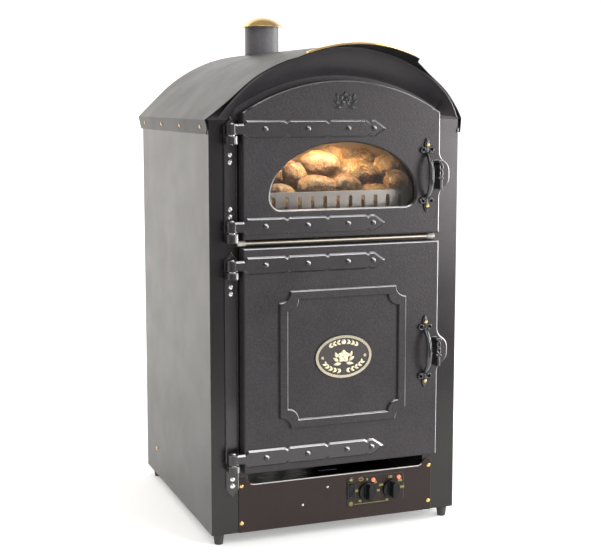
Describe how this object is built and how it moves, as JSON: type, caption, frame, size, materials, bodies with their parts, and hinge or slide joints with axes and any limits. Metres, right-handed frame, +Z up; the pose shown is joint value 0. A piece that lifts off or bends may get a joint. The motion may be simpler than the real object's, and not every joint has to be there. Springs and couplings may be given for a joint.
{
  "type": "baked potato oven",
  "caption": "Arched counter-top oven for baked potatoes: lit display behind a hinged window door, fan oven behind a lower door, hood, chimney, knobs and rocker switch.",
  "frame": {"origin": "on the counter under the feet, on the cabinet's centre line, midway along the whole depth", "axes": "+Z up, -Y towards someone facing the doors, +X to that person's right"},
  "size_m": [0.51, 0.615, 0.9945],
  "materials": {
    "black_enamel": "satin",
    "back_sheet": "satin",
    "door_casting": "satin, finely speckled",
    "black_iron": "satin",
    "stainless": "brushed",
    "brass": "polished",
    "window_glass": "clear",
    "lamp_glass": "clear",
    "rope": "woven",
    "mineral_wool": "matt",
    "black_plastic": "satin",
    "motor_casing": "satin",
    "element_sheath": "matt",
    "badge_enamel": "gloss",
    "plate_print": "satin",
    "red_lens": "gloss"
  },
  "bodies": {
    "cabinet": {"base_panel": "black_enamel", "side_panel_left": "black_enamel", "side_panel_right": "black_enamel", "back_panel": "back_sheet", "front_frame": "black_enamel", "gable_panel": "black_enamel", "roof_shell": "black_enamel", "roof_rivets": "brass", "roof_trim": "brass", "chimney_tube": "black_enamel", "chimney_cap": "brass", "cabinet_feet": "black_iron", "display_liner": "stainless", "oven_liner": "stainless", "oven_insulation": "mineral_wool", "lamp_sockets": "black_plastic", "display_lamp": "lamp_glass", "heating_elements": "element_sheath", "shelf_racks": "stainless", "fan_guard": "stainless", "fan_motor": "motor_casing", "divider_bar": "brass", "hinge_rail_upper": "black_iron", "hinge_rail_lower": "black_iron", "hinge_pins": "stainless", "steel_screws": "stainless", "brass_screws": "brass", "fascia_panel": "black_enamel", "control_plate": "plate_print", "control_housings": "black_plastic", "switch_body": "black_plastic", "neon_lamps": "red_lens", "cable_gland": "black_plastic"},
    "upper_door": {"upper_door": "door_casting", "window_glass": "window_glass", "glass_retainer": "stainless", "upper_door_seal": "rope", "upper_door_straps": "black_iron", "upper_strap_rivets": "black_iron", "upper_door_pull": "black_iron", "upper_pull_screws": "brass"},
    "lower_door": {"lower_door": "door_casting", "lower_door_pan": "stainless", "lower_door_seal": "rope", "lower_door_straps": "black_iron", "lower_strap_rivets": "black_iron", "lower_door_pull": "black_iron", "lower_pull_screws": "brass", "door_badge": "badge_enamel"},
    "tray": {"display_tray": "stainless"},
    "shelf_bottom": {"oven_shelf_bottom": "stainless"},
    "shelf_middle": {"oven_shelf_middle": "stainless"},
    "shelf_top": {"oven_shelf_top": "stainless"},
    "fan": {"fan_rotor": "stainless"},
    "timer": {"timer_knob": "black_plastic", "timer_spindle": "stainless"},
    "thermostat": {"thermostat_knob": "black_plastic", "thermostat_spindle": "stainless"},
    "rocker": {"switch_rocker": "black_plastic"}
  },
  "joints": [
    {"name": "upper_door_hinge", "type": "hinge", "parent": "cabinet", "child": "upper_door", "pos_m": [-0.211, -0.217, 0.68], "axis": [0, 0, -1], "range_deg": [0, 115]},
    {"name": "lower_door_hinge", "type": "hinge", "parent": "cabinet", "child": "lower_door", "pos_m": [-0.211, -0.217, 0.346], "axis": [0, 0, -1], "range_deg": [0, 115]},
    {"name": "tray_slide", "type": "slide", "parent": "cabinet", "child": "tray", "axis": [0, -1, 0], "range_m": [0, 0.018]},
    {"name": "shelf_bottom_slide", "type": "slide", "parent": "cabinet", "child": "shelf_bottom", "axis": [0, -1, 0], "range_m": [0, 0.01]},
    {"name": "shelf_middle_slide", "type": "slide", "parent": "cabinet", "child": "shelf_middle", "axis": [0, -1, 0], "range_m": [0, 0.01]},
    {"name": "shelf_top_slide", "type": "slide", "parent": "cabinet", "child": "shelf_top", "axis": [0, -1, 0], "range_m": [0, 0.01]},
    {"name": "fan_spin", "type": "hinge", "parent": "cabinet", "child": "fan", "pos_m": [0, 0.2075, 0.346], "axis": [0, 1, 0], "continuous": true},
    {"name": "timer_turn", "type": "hinge", "parent": "cabinet", "child": "timer", "pos_m": [0.0625, -0.206, 0.0725], "axis": [0, 1, 0], "range_deg": [0, 300]},
    {"name": "thermostat_turn", "type": "hinge", "parent": "cabinet", "child": "thermostat", "pos_m": [0.113, -0.206, 0.0725], "axis": [0, 1, 0], "range_deg": [0, 290]},
    {"name": "rocker_tip", "type": "hinge", "parent": "cabinet", "child": "rocker", "pos_m": [0.029, -0.1975, 0.078], "axis": [1, 0, 0], "range_deg": [-8, 8]}
  ]
}
